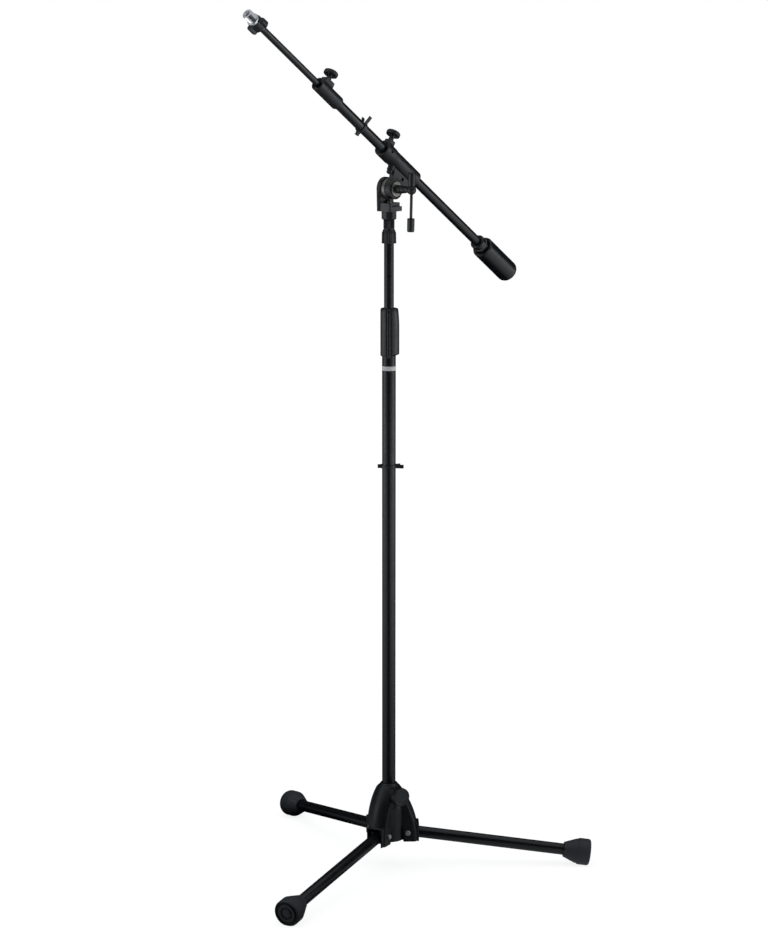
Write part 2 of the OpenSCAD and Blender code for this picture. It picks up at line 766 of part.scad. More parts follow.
module thread_ring()
    color([0.8, 0.8, 0.8]) on_boom(0) ring(neck_r, 10, [wing_u[1] + 0.1, wing_u[1] + 4]);

module wing_ring()
    color([0.12, 0.13, 0.13]) on_boom(wing_u[0]) difference() {
        union() {
            soft_disc(11, wing_u[1] - wing_u[0], 1.2);
            for (a = [100, 220, 340]) rotate([0, 0, a])
                linear_extrude(wing_u[1] - wing_u[0] - 1) translate([8.5, 0]) soft_plate(15, 8, 2.4);
        }
        translate([0, 0, -1]) cylinder(r = neck_r + run, h = 20);
    }

// ---------- Every node by name ----------

base_hub();
hub_bushing();
leg_pivot_pins();
base_knob();
base_knob_screw();
leg_tube_right();
leg_hinge_end_right();
foot_right();
leg_tube_rear();
leg_hinge_end_rear();
foot_rear();
leg_tube_front();
leg_hinge_end_front();
foot_front();
lower_tube();
mast_bottom_plug();
mast_cable_clip();
mast_label();
clutch_body();
clutch_collet();
clutch_grip();
upper_tube();
tube_guide();
tube_top_stud();
knurled_collar();
yoke_bolt();
lock_nut();
yoke();
head_collar();
friction_disc();
clutch_bolt();
boom_holder();
holder_stop_screw();
friction_washer();
holder_bushings();
clutch_washer();
handle_barrel();
handle_bar();
bar_caps();
holder_knob();
holder_knob_screw();
boom_tube();
boom_clamp();
clamp_bushing();
boom_cable_clip();
weight_collar();
weight_washer();
weight_nut();
weight_stud();
counterweight();
clamp_knob();
clamp_knob_screw();
boom_rod();
rod_guide();
mic_thread();
thread_ring();
wing_ring();
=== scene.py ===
import math

import bmesh
import bpy
from mathutils import Matrix, Vector


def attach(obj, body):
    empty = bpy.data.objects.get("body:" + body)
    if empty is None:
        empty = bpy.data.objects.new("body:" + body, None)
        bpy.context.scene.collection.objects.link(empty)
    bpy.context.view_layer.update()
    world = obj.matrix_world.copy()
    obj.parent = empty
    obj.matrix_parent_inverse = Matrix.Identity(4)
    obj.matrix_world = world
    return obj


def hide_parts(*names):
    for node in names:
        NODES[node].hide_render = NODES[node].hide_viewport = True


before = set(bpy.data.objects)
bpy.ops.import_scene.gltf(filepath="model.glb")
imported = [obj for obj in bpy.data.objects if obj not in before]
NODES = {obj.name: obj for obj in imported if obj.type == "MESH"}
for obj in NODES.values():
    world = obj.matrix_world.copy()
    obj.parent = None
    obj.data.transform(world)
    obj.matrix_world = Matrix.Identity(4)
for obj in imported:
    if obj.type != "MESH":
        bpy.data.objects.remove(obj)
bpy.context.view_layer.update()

MM = 0.001

# ---------------------------------------------------------------- sizes, in millimetres, as in the CAD
LEG_PIVOT_R = 31.4
LEG_PIVOT_Z = 61.6
LEG_REACH = 309.0
LEG_R = 9.65
FOOT_AXIS_Z = 20.1
FOOT_LEN = 44.0
LEG_SLOPE = math.degrees(math.asin((LEG_PIVOT_Z - FOOT_AXIS_Z) / LEG_REACH))
BASE_KNOB_Z = 129.0
LOWER_R = 11.2
UPPER_R = 7.95
HINGE_Z = 1134.6
HEAD_YAW = 228.6
BOOM_TILT = 34.2
BOOM_SIDE = 10.0
BOOM_RISE = 39.5
BAR_SIDE = 46.9
BAR_LEAN = 1.7
BAR_LEN = 95.0
BALL_R = 7.6
CAP_Z = 6.0
CAP_LEN = 22.0
BOOM_R = 7.95
ROD_R = 5.25
HOLDER_KNOB_U = 50.5
STOP_U = 25.0
CLAMP_KNOB_U = 231.0
CLIP_U = 123.0
CLIP_Z = 682.0
LABEL_LOW = 840.5
LABEL_HIGH = 847.5
GRIP_LOW = 864
GRIP_HIGH = 942
GRIP_R = 13.9
WEIGHT_R = 18.35
WEIGHT_LEN = 88
WEIGHT_FRONT = -252.0
COLLAR_FRONT = -234.5
PIN_R = 3.0
LOBE_HALF = 16.95
RING_LOW = 405.0
RING_HIGH = 421.0
WALL = 1.2
BOOM_WALL = 1.1


# ---------------------------------------------------------------- places
def move(x=0.0, y=0.0, z=0.0):
    return Matrix.Translation((x, y, z))


def turn(degrees, axis):
    return Matrix.Rotation(math.radians(degrees), 4, axis)


def leg_frame(k):
    return turn(120 * k, "Z") @ move(LEG_PIVOT_R, 0, LEG_PIVOT_Z) @ turn(LEG_SLOPE, "Y")


def along_leg(k, x):
    return leg_frame(k) @ move(x) @ turn(90, "Y")


HEAD = move(0, 0, HINGE_Z) @ turn(HEAD_YAW, "Z")
BOOM = HEAD @ turn(-BOOM_TILT, "Y") @ move(0, BOOM_SIDE, BOOM_RISE)
BAR = HEAD @ move(0, BAR_SIDE) @ turn(-BAR_LEAN, "Y")


def on_hinge(side):
    return HEAD @ move(0, side) @ turn(-90, "X")


def on_boom(u):
    return BOOM @ move(u) @ turn(90, "Y")


def on_base_screw(r):
    return move(0, 0, BASE_KNOB_Z) @ turn(-60, "Z") @ move(r) @ turn(90, "Y")


# ---------------------------------------------------------------- shapes
def rounded(corners, steps=4):
    """A closed outline from corners (x, y) or (x, y, radius)."""
    out = []
    count = len(corners)
    for i, corner in enumerate(corners):
        at = Vector(corner[:2])
        radius = corner[2] if len(corner) > 2 else 0
        if radius <= 0:
            out.append(tuple(at))
            continue
        before = Vector(corners[i - 1][:2]) - at
        after = Vector(corners[(i + 1) % count][:2]) - at
        half = before.angle(after) / 2
        reach = min(radius / math.tan(half), 0.49 * before.length, 0.49 * after.length)
        radius = reach * math.tan(half)
        before.normalize()
        after.normalize()
        centre = at + (before + after).normalized() * (radius / math.sin(half))
        start = at + before * reach - centre
        end = at + after * reach - centre
        for k in range(steps + 1):
            out.append(tuple(centre + start.lerp(end, k / steps).normalized() * radius))
    return out


def lathe(profile, segments=64, shape=None):
    """A closed (r, z) profile turned about z; shape(r, z, angle) may change r and z round the turn."""
    bm = bmesh.new()
    rings = []
    for r, z in profile:
        ring = []
        for k in range(segments):
            angle = 2 * math.pi * k / segments
            rr, zz = shape(r, z, angle) if shape and r > 1e-6 else (r, z)
            ring.append(bm.verts.new((rr * math.cos(angle), rr * math.sin(angle), zz)))
        rings.append(ring)
    count = len(profile)
    for i in range(count):
        j = (i + 1) % count
        if profile[i][0] < 1e-6 and profile[j][0] < 1e-6:
            continue
        for k in range(segments):
            m = (k + 1) % segments
            bm.faces.new((rings[i][k], rings[i][m], rings[j][m], rings[j][k]))
    bmesh.ops.remove_doubles(bm, verts=bm.verts, dist=1e-4)
    bmesh.ops.recalc_face_normals(bm, faces=bm.faces)
    return bm


def disc(radius, low, high, edge=0.6, segments=64, shape=None):
    """A solid round of one radius with softened rims."""
    return lathe(rounded([(0, low), (radius, low, edge), (radius, high, edge), (0, high)]), segments, shape)


def tube(inner, outer, low, high, edge=0.3, segments=64, shape=None):
    """A hollow round with softened rims."""
    corners = [(inner, low, edge), (outer, low, edge), (outer, high, edge), (inner, high, edge)]
    return lathe(rounded(corners, 3), segments, shape)


def prism(outline, low, high, edge=0.5):
    """An outline raised from low to high, with softened rims."""
    bm = bmesh.new()
    bottom = [bm.verts.new((x, y, low)) for x, y in outline]
    top = [bm.verts.new((x, y, high)) for x, y in outline]
    caps = [bm.faces.new(bottom[::-1]), bm.faces.new(top)]
    count = len(outline)
    for i in range(count):
        j = (i + 1) % count
        bm.faces.new((bottom[i], bottom[j], top[j], top[i]))
    bmesh.ops.recalc_face_normals(bm, faces=bm.faces)
    if edge:
        rims = list({e for cap in caps for e in cap.edges})
        bmesh.ops.bevel(bm, geom=rims, offset=edge, segments=3, profile=0.5, affect="EDGES",
                        clamp_overlap=True)
    return bm


def ribbon(path, width):
    """The outline of a strip of even width that follows a path."""
    left, right = [], []
    for i, point in enumerate(path):
        before = Vector(path[max(i - 1, 0)])
        after = Vector(path[min(i + 1, len(path) - 1)])
        along = (after - before).normalized()
        side = Vector((-along.y, along.x)) * width / 2
        left.append(tuple(Vector(point) + side))
        right.append(tuple(Vector(point) - side))
    return left + right[::-1]


def placed(bm, matrix):
    bm.transform(matrix)
    return bm


def hexed(across):
    """A lathe shape that cuts six flats, across millimetres apart."""
    def shape(r, z, angle):
        step = math.pi / 3
        off = (angle + step / 2) % step - step / 2
        return min(r, across / 2 / math.cos(off)), z
    return shape


def scalloped(count, depth, sharp=1.0, least=0.0):
    """A lathe shape with shallow flutes where the radius is at least least."""
    def shape(r, z, angle):
        if r < least:
            return r, z
        wave = (0.5 + 0.5 * math.cos(count * angle)) ** sharp
        return r - depth * wave, z
    return shape


def boolean(base, cutter):
    """The first shape with the second cut out of it."""
    objects = []
    for bm in (base, cutter):
        mesh = bpy.data.meshes.new("work")
        bm.to_mesh(mesh)
        bm.free()
        objects.append(bpy.data.objects.new("work", mesh))
        bpy.context.scene.collection.objects.link(objects[-1])
    modifier = objects[0].modifiers.new("cut", "BOOLEAN")
    modifier.operation = "DIFFERENCE"
    modifier.solver = "EXACT"
    modifier.object = objects[1]
    graph = bpy.context.evaluated_depsgraph_get()
    out = bmesh.new()
    out.from_object(objects[0], graph)
    for work in objects:
        mesh = work.data
        bpy.data.objects.remove(work)
        bpy.data.meshes.remove(mesh)
    return out


# ---------------------------------------------------------------- materials
RIPPLE_DEPTH = 0.0004  # metres


def material(name, colour, rough, metallic=0.0, grain=1500.0, bump=0.15, depth=0.00006, spread=0.06,
             tint=0.25, wear=0.0, stretch=(1, 1, 1), specular=0.5, second=0.0, second_scale=60.0):
    """A finish from nodes: colour and roughness vary a little, and fine grain stands out of the surface.

    grain and second_scale are noise scales, bump and second the strengths of the fine and broad relief,
    and wear lightens the edges.
    """
    mat = bpy.data.materials.new(name)
    mat.use_nodes = True
    tree = mat.node_tree
    shader = tree.nodes["Principled BSDF"]
    shader.inputs["Metallic"].default_value = metallic
    shader.inputs["Specular IOR Level"].default_value = specular
    place = tree.nodes.new("ShaderNodeTexCoord")
    mapping = tree.nodes.new("ShaderNodeMapping")
    mapping.inputs["Scale"].default_value = stretch
    tree.links.new(place.outputs["Object"], mapping.inputs["Vector"])

    def noise(scale, detail, roughness=0.5):
        node = tree.nodes.new("ShaderNodeTexNoise")
        node.inputs["Scale"].default_value = scale
        node.inputs["Detail"].default_value = detail
        node.inputs["Roughness"].default_value = roughness
        tree.links.new(mapping.outputs["Vector"], node.inputs["Vector"])
        return node

    broad = noise(second_scale, 3.0)
    fine = noise(grain, 2.0, 0.6)
    ramp = tree.nodes.new("ShaderNodeMapRange")
    ramp.inputs["From Min"].default_value = 0.3
    ramp.inputs["From Max"].default_value = 0.7
    ramp.inputs["To Min"].default_value = rough - spread
    ramp.inputs["To Max"].default_value = rough + spread
    tree.links.new(broad.outputs["Fac"], ramp.inputs["Value"])
    tree.links.new(ramp.outputs["Result"], shader.inputs["Roughness"])
    mix = tree.nodes.new("ShaderNodeMix")
    mix.data_type = "RGBA"
    mix.inputs["A"].default_value = (*[c * (1 - tint) for c in colour], 1)
    mix.inputs["B"].default_value = (*[min(1, c * (1 + tint)) for c in colour], 1)
    tree.links.new(fine.outputs["Fac"], mix.inputs["Factor"])
    out = mix.outputs["Result"]
    if wear:
        geometry = tree.nodes.new("ShaderNodeNewGeometry")
        edge = tree.nodes.new("ShaderNodeMapRange")
        edge.inputs["From Min"].default_value = 0.54
        edge.inputs["From Max"].default_value = 0.66
        edge.inputs["To Max"].default_value = wear
        tree.links.new(geometry.outputs["Pointiness"], edge.inputs["Value"])
        worn = tree.nodes.new("ShaderNodeMix")
        worn.data_type = "RGBA"
        worn.inputs["B"].default_value = (*[min(1, c * 3 + 0.02) for c in colour], 1)
        tree.links.new(edge.outputs["Result"], worn.inputs["Factor"])
        tree.links.new(out, worn.inputs["A"])
        out = worn.outputs["Result"]
    tree.links.new(out, shader.inputs["Base Color"])
    relief = tree.nodes.new("ShaderNodeBump")
    relief.inputs["Strength"].default_value = bump
    relief.inputs["Distance"].default_value = depth
    tree.links.new(fine.outputs["Fac"], relief.inputs["Height"])
    last = relief
    if second:
        ripple = tree.nodes.new("ShaderNodeBump")
        ripple.inputs["Strength"].default_value = second
        ripple.inputs["Distance"].default_value = RIPPLE_DEPTH
        tree.links.new(broad.outputs["Fac"], ripple.inputs["Height"])
        tree.links.new(relief.outputs["Normal"], ripple.inputs["Normal"])
        last = ripple
    tree.links.new(last.outputs["Normal"], shader.inputs["Normal"])
    return mat


COAT = material("satin_coat", (0.0055, 0.0065, 0.0085), 0.31, grain=1700, bump=0.05, tint=0.15,
                second=0.03, second_scale=90, wear=0.25)
CAST = material("cast_paint", (0.0075, 0.009, 0.0115), 0.42, grain=1100, bump=0.15, depth=0.00008,
                tint=0.15, wear=0.4, second=0.05)
PLASTIC = material("moulded_nylon", (0.009, 0.0105, 0.013), 0.37, grain=2300, bump=0.12, tint=0.15,
                   spread=0.05, wear=0.2)
RUBBER = material("rubber", (0.044, 0.049, 0.056), 0.6, grain=1500, bump=0.25, depth=0.0001,
                  spread=0.08, wear=0.4, specular=0.4)
STEEL = material("zinc_steel", (0.40, 0.385, 0.36), 0.42, 1.0, grain=420, bump=0.25,
                 stretch=(1, 1, 6), tint=0.15, spread=0.09)
# Painted highlight: the pin heads get a lighter, less metallic copy of the zinc steel so that they look
# lit. The lamps alone leave them dark.
PINS_PAINTED_LIGHT = material("pin_steel_painted_highlight", (0.60, 0.59, 0.58), 0.42, 0.4, grain=420, bump=0.2, tint=0.12, spread=0.08)
ALLOY = material("turned_alloy", (0.24, 0.225, 0.205), 0.5, 1.0, grain=900, bump=0.35, tint=0.12,
                 spread=0.08)
CHROME = material("bright_chrome", (0.66, 0.66, 0.68), 0.14, 1.0, grain=300, bump=0.05, tint=0.04,
                  spread=0.05)
TAN = material("tan_washer", (0.30, 0.245, 0.20), 0.42, 0.6, grain=900, bump=0.3, tint=0.2, spread=0.08)
PALE = material("pale_print", (0.78, 0.79, 0.80), 0.45, grain=1800, bump=0.15, tint=0.05)
LINER = material("acetal", (0.42, 0.41, 0.38), 0.45, grain=1200, bump=0.2, tint=0.08)


# ---------------------------------------------------------------- pieces
WELD_DISTANCE = 0.000002  # metres


def piece(name, body, mat, parts, stands_for=(), sharp=33):
    """One named object made of shapes in row-frame millimetres."""
    whole = bmesh.new()
    for bm in parts:
        mesh = bpy.data.meshes.new("part")
        bm.to_mesh(mesh)
        bm.free()
        whole.from_mesh(mesh)
        bpy.data.meshes.remove(mesh)
    whole.transform(Matrix.Scale(MM, 4))
    mesh = bpy.data.meshes.new(name)
    whole.to_mesh(mesh)
    whole.free()
    mesh.polygons.foreach_set("use_smooth", [True] * len(mesh.polygons))
    mesh.set_sharp_from_angle(angle=math.radians(sharp))
    mesh.materials.append(mat)
    obj = bpy.data.objects.new(name, mesh)
    bpy.context.scene.collection.objects.link(obj)
    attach(obj, body)
    if stands_for:
        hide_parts(*stands_for)
    return obj


def carry(name, mat, edge=0.25):
    """A CAD node keeps its shape and gets a finish and softened edges."""
    obj = NODES[name]
    obj.data.materials.clear()
    obj.data.materials.append(mat)
    weld = obj.modifiers.new("weld", "WELD")
    weld.merge_threshold = WELD_DISTANCE
    if edge:
        soft = obj.modifiers.new("edges", "BEVEL")
        soft.limit_method = "ANGLE"
        soft.angle_limit = math.radians(40)
        soft.width = edge * MM
        soft.segments = 2
        soft.harden_normals = False
    return obj


def cast(name, mat, voxel, passes):
    """A CAD casting with flowing edges, as poured metal and thick paint have."""
    obj = carry(name, mat, 0)
    grid = obj.modifiers.new("grid", "REMESH")
    grid.mode = "VOXEL"
    grid.voxel_size = voxel * MM
    grid.use_smooth_shade = True
    ease = obj.modifiers.new("ease", "SMOOTH")
    ease.factor = 0.5
    ease.iterations = passes
    return obj


# ---- base
cast("base_hub", CAST, 0.62, 5)
carry("hub_bushing", PLASTIC, 0.3)
carry("base_knob_screw", STEEL, 0.2)
SIDES = ("right", "rear", "front")
for k, side in enumerate(SIDES):
    carry("leg_hinge_end_" + side, PLASTIC, 0.5)

pins = []
for k in range(3):
    axle = turn(120 * k, "Z") @ move(LEG_PIVOT_R, 0, LEG_PIVOT_Z) @ turn(90, "X")
    pins.append(placed(disc(PIN_R, -17.5, 17.5, 0.2, 40), axle))
    head = lathe(rounded([
        (0, LOBE_HALF), (4.4, LOBE_HALF), (4.4, 17.9, 0.3), (3.4, 18.6, 0.8), (0, 18.6)
    ]), 48)
    socket = disc(2.1, 17.9, 20, 0.0, 48, hexed(3.6))
    pins.append(placed(boolean(head, socket), axle))
    nut = lathe(rounded([
        (0, -LOBE_HALF), (4.2, -LOBE_HALF), (4.2, -18.9, 0.3), (3.2, -20.9, 1.8), (0, -21.6)
    ]), 48)
    pins.append(placed(nut, axle))
piece("leg_pivot_pins_form", "base", PINS_PAINTED_LIGHT, pins, ["leg_pivot_pins"])

knob_profile = rounded([
    (4.05, -1.7), (8.0, -1.7, 0.4), (8.0, 1.0, 0.6), (13.2, 1.6, 0.5), (15.5, 0.2, 0.6),
    (15.5, 8.2, 1.3), (12.6, 8.6, 0.8), (11.6, 8.15, 0.8), (0, 8.0), (0, 0.5), (4.05, 0.5)
])
base_knob = lathe(knob_profile, 160, scalloped(40, 0.16, 2.0, 15.0))
piece("base_knob_form", "base_knob", PLASTIC,
      [placed(base_knob, on_base_screw(33))], ["base_knob"])


# ---- legs
def foot(k):
    """A rubber foot: neck, flared body, and an end with two ring grooves; its underside is cut flat."""
    profile = rounded([
        (LEG_R, 1.2, 0.3), (10.4, 0.0, 0.5), (12.7, 0.0, 0.9), (13.25, 2.4, 0.8), (13.7, 3.2, 0.6),
        (20.5, 20.6, 5.0), (20.5, 23.4, 0.25), (21.4, 23.8, 0.3), (22.25, 25.4, 1.6), (22.25, 41.6, 2.6),
        (20.6, 44.0, 1.8), (19.6, 44.0, 0.4), (19.3, 39.6, 0.5), (15.6, 39.6, 0.5), (15.2, 43.7, 0.6),
        (10.5, 43.7, 0.5), (10.2, 41.0, 0.4), (7.9, 41.0, 0.4), (7.5, 43.2, 0.4), (0, 43.2), (0, 32),
        (LEG_R, 32)
    ], 4)
    bm = placed(lathe(profile, 96), along_leg(k, LEG_REACH - FOOT_LEN))
    for vertex in bm.verts:
        vertex.co.z = max(vertex.co.z, 0.0)
    bmesh.ops.dissolve_degenerate(bm, dist=1e-4, edges=bm.edges)
    return bm


for k, side in enumerate(SIDES):
    body = "leg_" + side
    leg = tube(LEG_R - WALL, LEG_R, 0, LEG_REACH - 24, 0.4)
    piece("leg_tube_" + side + "_form", body, COAT,
          [placed(leg, along_leg(k, 12))], ["leg_tube_" + side])
    piece("foot_" + side + "_form", body, RUBBER, [foot(k)], ["foot_" + side])

# ---- mast
piece("lower_tube_form", "mast", COAT,
      [tube(LOWER_R - WALL, LOWER_R, 47, 932, 0.4, 80)], ["lower_tube"])
piece("mast_label_form", "mast", PALE,
      [tube(LOWER_R - 0.02, LOWER_R + 0.12, LABEL_LOW, LABEL_HIGH, 0.05, 80)], ["mast_label"])
for name, mat in (("mast_bottom_plug", PLASTIC), ("clutch_body", PLASTIC), ("clutch_collet", LINER)):
    carry(name, mat, 0.3)


def clip(tube_r):
    """A springy C that snaps on the tube, two prongs for a cable and a small hook behind."""
    t = 1.9
    mid = tube_r + t / 2
    arc = [(mid * math.cos(math.radians(a)), mid * math.sin(math.radians(a))) for a in range(24, 337, 6)]
    upper = [(tube_r + 7.5, 7.3), (tube_r + 5.6, 6.5), (tube_r + 3.2, 5.2), (tube_r + 1.2, 4.25),
             (tube_r * 0.96 + 0.9, 4.6)]
    lower = [(tube_r * 0.96 + 0.9, -4.6), (tube_r + 1.6, -4.3), (tube_r + 4.5, -5.0),
             (tube_r + 8.5, -5.8), (tube_r + 12.8, -6.2)]
    band = prism(ribbon(upper + arc + lower, t), -3, 3, 0.45)
    back = -tube_r - t
    hook = prism(rounded([
        (back + 0.6, -2.9), (back + 0.6, 2.9), (back - 2.0, 2.9, 0.6), (back - 2.0, 1.6, 0.4),
        (back - 5.3, 1.6, 0.9), (back - 5.3, -1.6, 0.9), (back - 2.0, -1.6, 0.4), (back - 2.0, -2.9, 0.6)
    ]), -3, 3, 0.4)
    lip = prism(rounded([
        (back - 5.3, -2.9, 0.5), (back - 5.3, 2.9, 0.5), (back - 3.9, 2.9, 0.5), (back - 3.9, -2.9, 0.5)
    ]), -3, 3, 0.4)
    return [band, hook, lip]


piece("mast_cable_clip_form", "mast", PLASTIC,
      [placed(bm, move(0, 0, CLIP_Z)) for bm in clip(LOWER_R)], ["mast_cable_clip"])


def grip_shape(r, z, angle):
    """An egg-shaped section with a rib down the front that ends in a tongue."""
    if r < 13:
        return r, z
    rib_at = math.radians(-92.5)
    off = (angle - rib_at + math.pi) % (2 * math.pi) - math.pi
    height = (z - GRIP_LOW) / (GRIP_HIGH - GRIP_LOW)
    side = max(0.0, math.cos(angle - math.radians(8)))
    bulge = 3.0 - 1.8 * max(0.0, min(1.0, (height - 0.62) / 0.38)) ** 1.5
    r += bulge * side ** 1.3
    width = abs(off) * GRIP_R
    half = 3.0
    taper = min(1.0, max(0.0, (0.985 - height) / 0.05))
    bead = math.sqrt(max(0.0, 1 - (width / half) ** 2))
    groove = 1 - min(1.0, abs(width - half - 0.3) / 1.1)
    r += taper * (1.5 * bead - 0.9 * groove)
    if height < 0.2:
        tongue = max(0.0, 1 - width / (half + 0.6))
        right = 1.0 if -1.35 < (angle + math.pi) % (2 * math.pi) - math.pi < 1.9 else 0.0
        z += (2.6 * right - 3.2 * tongue - 0.4) * (1 - height / 0.2)
    return r, z


def grip_profile():
    side = [(GRIP_R, 866.6), (GRIP_R, 868.5)]
    side += [(GRIP_R, 868.5 + 3 * i) for i in range(1, 24)]
    top = [(13.7, 940.2), (13.1, 941.4), (11.6, 942.0), (9.6, 942.0), (8.5, 941.6), (8.3, 940.9),
           (8.3, 935), (11.25, 935)]
    return [(11.25, 864.6), (13.2, 864.4), (13.75, 865.2)] + side + top


piece("clutch_grip_form", "clutch_grip", PLASTIC,
      [lathe(grip_profile(), 288, grip_shape)], ["clutch_grip"], 40)

piece("upper_tube_form", "upper_mast", COAT,
      [tube(UPPER_R - WALL, UPPER_R, 330, 1066, 0.4, 72)], ["upper_tube"])
carry("tube_guide", LINER, 0.3)
carry("tube_top_stud", STEEL, 0.3)


def nut_shape(r, z, angle):
    """Eight flutes down the side of the lock nut."""
    if r < 9.0:
        return r, z
    wave = max(0.0, math.cos(8 * angle)) ** 0.6
    depth = 1.5 * min(1.0, (r - 9.0) / 2.2)
    return r - depth * wave, z


lock_nut = lathe(rounded([
    (UPPER_R + 0.05, 1047, 0.3), (12.1, 1047, 0.5), (12.1, 1049.2, 0.3), (11.9, 1050.0, 0.2),
    (11.7, 1063.5, 3.0), (9.9, 1068.4, 2.0), (8.9, 1070.0, 0.5), (UPPER_R + 0.05, 1070.0, 0.3)
], 6), 192, nut_shape)
piece("lock_nut_form", "lock_nut", CAST, [lock_nut], ["lock_nut"], 40)

knurl = lathe(rounded([
    (5.0, 1070.3), (8.3, 1070.3, 0.2), (8.75, 1071.1, 0.2), (9.0, 1071.6, 0.1), (9.0, 1083.4, 0.1),
    (8.75, 1083.9, 0.2), (8.3, 1084.7, 0.2), (5.0, 1084.7)
], 2), 216, scalloped(54, 0.42, 1.2, 8.9))
piece("knurled_collar_form", "upper_mast", CAST, [knurl], ["knurled_collar"], 25)

bolt_head = lathe(rounded([
    (0, 1086), (3, 1086), (3, 1112.55), (5.6, 1112.55, 0.3), (5.6, 1113.9, 0.4), (4.6, 1115.3, 1.0),
    (0, 1115.35)
]), 64)
bolt = boolean(bolt_head, disc(2.5, 1113.6, 1117, 0.0, 48, hexed(4.4)))
piece("yoke_bolt_form", "upper_mast", STEEL, [bolt], ["yoke_bolt"])

# ---- head
carry("yoke", CAST, 0.7)


def eight_sided(r, z, angle):
    """Eight flats, square to the yoke."""
    step = math.pi / 4
    off = (angle + step / 2 - math.radians(HEAD_YAW)) % step - step / 2
    return (min(r, 11.75 / math.cos(off)) if r > 8 else r), z


collar = lathe(rounded([
    (5.05, 1085), (10.3, 1085, 0.3), (12.3, 1087.2, 0.6), (12.5, 1098.9, 0.3), (12.3, 1099), (5.05, 1099)
], 3), 192, eight_sided)
piece("head_collar_form", "head", CAST, [collar], ["head_collar"], 24)

disc_rings = [(4.0, -3.2), (6.5, -3.2), (16.9, -3.2, 0.5), (16.9, -1.2, 0.2), (16.5, -0.9, 0.2),
              (16.5, 0.4, 0.2), (16.9, 0.7, 0.2), (16.9, 3.4, 0.5), (4.0, 3.4)]
piece("friction_disc_form", "head", ALLOY,
      [placed(lathe(rounded(disc_rings, 3), 128), on_hinge(0))], ["friction_disc"])
shank = disc(4.0, -10.9, 36, 0.5, 48)
hex_head = lathe(rounded([
    (0, -15.9), (6.2, -15.9, 0.4), (7.5, -15.1, 0.4), (7.5, -10.9, 0.2), (0, -10.9)
], 3), 96, hexed(13.0))
hex_washer = tube(4.0, 8.6, -10.95, -10.41, 0.1)
piece("clutch_bolt_form", "head", STEEL,
      [placed(bm, on_hinge(0)) for bm in (shank, hex_head, hex_washer)], ["clutch_bolt"], 25)

# ---- boom holder
cast("boom_holder", CAST, 0.42, 3)
carry("friction_washer", RUBBER, 0.2)
carry("holder_bushings", PLASTIC, 0.3)
stop_body = lathe(rounded([
    (0, -25.5), (3.4, -25.5, 0.8), (4.6, -24.1, 1.0), (4.6, -19.9, 0.6), (3.0, -19.6), (3.0, -11), (0, -11)
]), 64)
stop = boolean(stop_body, disc(2.3, -27, -23.9, 0.0, 48, hexed(4.0)))
piece("holder_stop_screw_form", "boom_holder", CAST,
      [placed(stop, BOOM @ move(STOP_U))], ["holder_stop_screw"])


def thumb_knob(neck):
    """A coin-shaped head, hollow underneath, on a waisted stem; z = 0 is the stem's lower end."""
    top = neck + 6.5
    profile = rounded([
        (3.0, 0), (4.6, 0, 0.3), (4.3, 2.2, 0.6), (3.9, neck * 0.6, 0.8), (4.6, neck + 2.3, 0.8),
        (9.2, neck + 2.5, 0.6), (9.7, neck, 0.5), (11.0, neck, 0.6), (11.5, neck + 1.0, 0.5),
        (11.5, top - 1.6, 0.8), (10.6, top - 0.3, 0.9), (8.2, top, 1.5), (4.5, top - 0.35, 0.8),
        (0, top - 0.35), (0, top - 3), (3.0, top - 3)
    ], 4)
    return lathe(profile, 160, scalloped(10, 0.22, 3.0, 10.4))


piece("holder_knob_form", "holder_knob", PLASTIC,
      [placed(thumb_knob(9.2), BOOM @ move(HOLDER_KNOB_U, 0, 20.3))], ["holder_knob"])
piece("clamp_knob_form", "clamp_knob", PLASTIC,
      [placed(thumb_knob(8.4), BOOM @ move(CLAMP_KNOB_U, 0, 18.3))], ["clamp_knob"])
carry("holder_knob_screw", STEEL, 0.2)
carry("clamp_knob_screw", STEEL, 0.2)

# ---- T-handle
piece("clutch_washer_form", "handle", ALLOY,
      [placed(tube(4.05, 12.3, 15.1, 16.6, 0.4, 96), on_hinge(0))], ["clutch_washer"])
ball = [(BALL_R * math.cos(math.radians(a)), BAR_SIDE + BALL_R * math.sin(math.radians(a)))
        for a in range(-51, 91, 9)]
barrel = lathe(rounded([
    (4.05, 16.7), (6.9, 16.7, 0.6), (6.9, 26.4, 0.8), (6.1, 27.4, 0.5), (5.9, 39.5, 1.0)
], 4) + ball[:-1] + [(0, BAR_SIDE + BALL_R), (0, 36.5), (4.05, 36.5)], 96)
bar_hole = placed(disc(2.35, -20, 20, 0.0, 40), BAR)
piece("handle_barrel_form", "handle", CAST,
      [boolean(placed(barrel, on_hinge(0)), bar_hole)], ["handle_barrel"], 40)
CAP_TOP = CAP_Z + CAP_LEN
bar = disc(2.3, CAP_TOP - BAR_LEN + 2, CAP_TOP - 2, 0.3, 40)
piece("handle_bar_form", "handle_bar", COAT, [placed(bar, BAR)], ["handle_bar"])


def bar_cap(upper):
    """A soft cap with a hollow that fits over the ball and a shallow dish in its far end."""
    hollow = [(2.33, 7.55), (3.6, 7.0), (4.7, 6.35)]
    side = [(5.1, CAP_Z, 0.25), (5.7, CAP_Z + 0.1, 0.4), (5.95, CAP_Z + 1.6, 0.8), (5.95, 14, 0.5),
            (5.85, CAP_TOP - 1.9, 1.5), (4.9, CAP_TOP, 0.9), (3.4, CAP_TOP, 0.4),
            (3.0, CAP_TOP - 0.8, 0.4), (0, CAP_TOP - 0.8), (0, 21), (2.33, 21)]
    bm = lathe(hollow + rounded(side, 5), 72, scalloped(2, 0.12, 6.0, 5.5))
    if not upper:
        bm.transform(move(0, 0, 2 * CAP_TOP - BAR_LEN) @ turn(180, "X"))
    return placed(bm, BAR)


piece("bar_caps_form", "handle_bar", PLASTIC, [bar_cap(True), bar_cap(False)], ["bar_caps"])

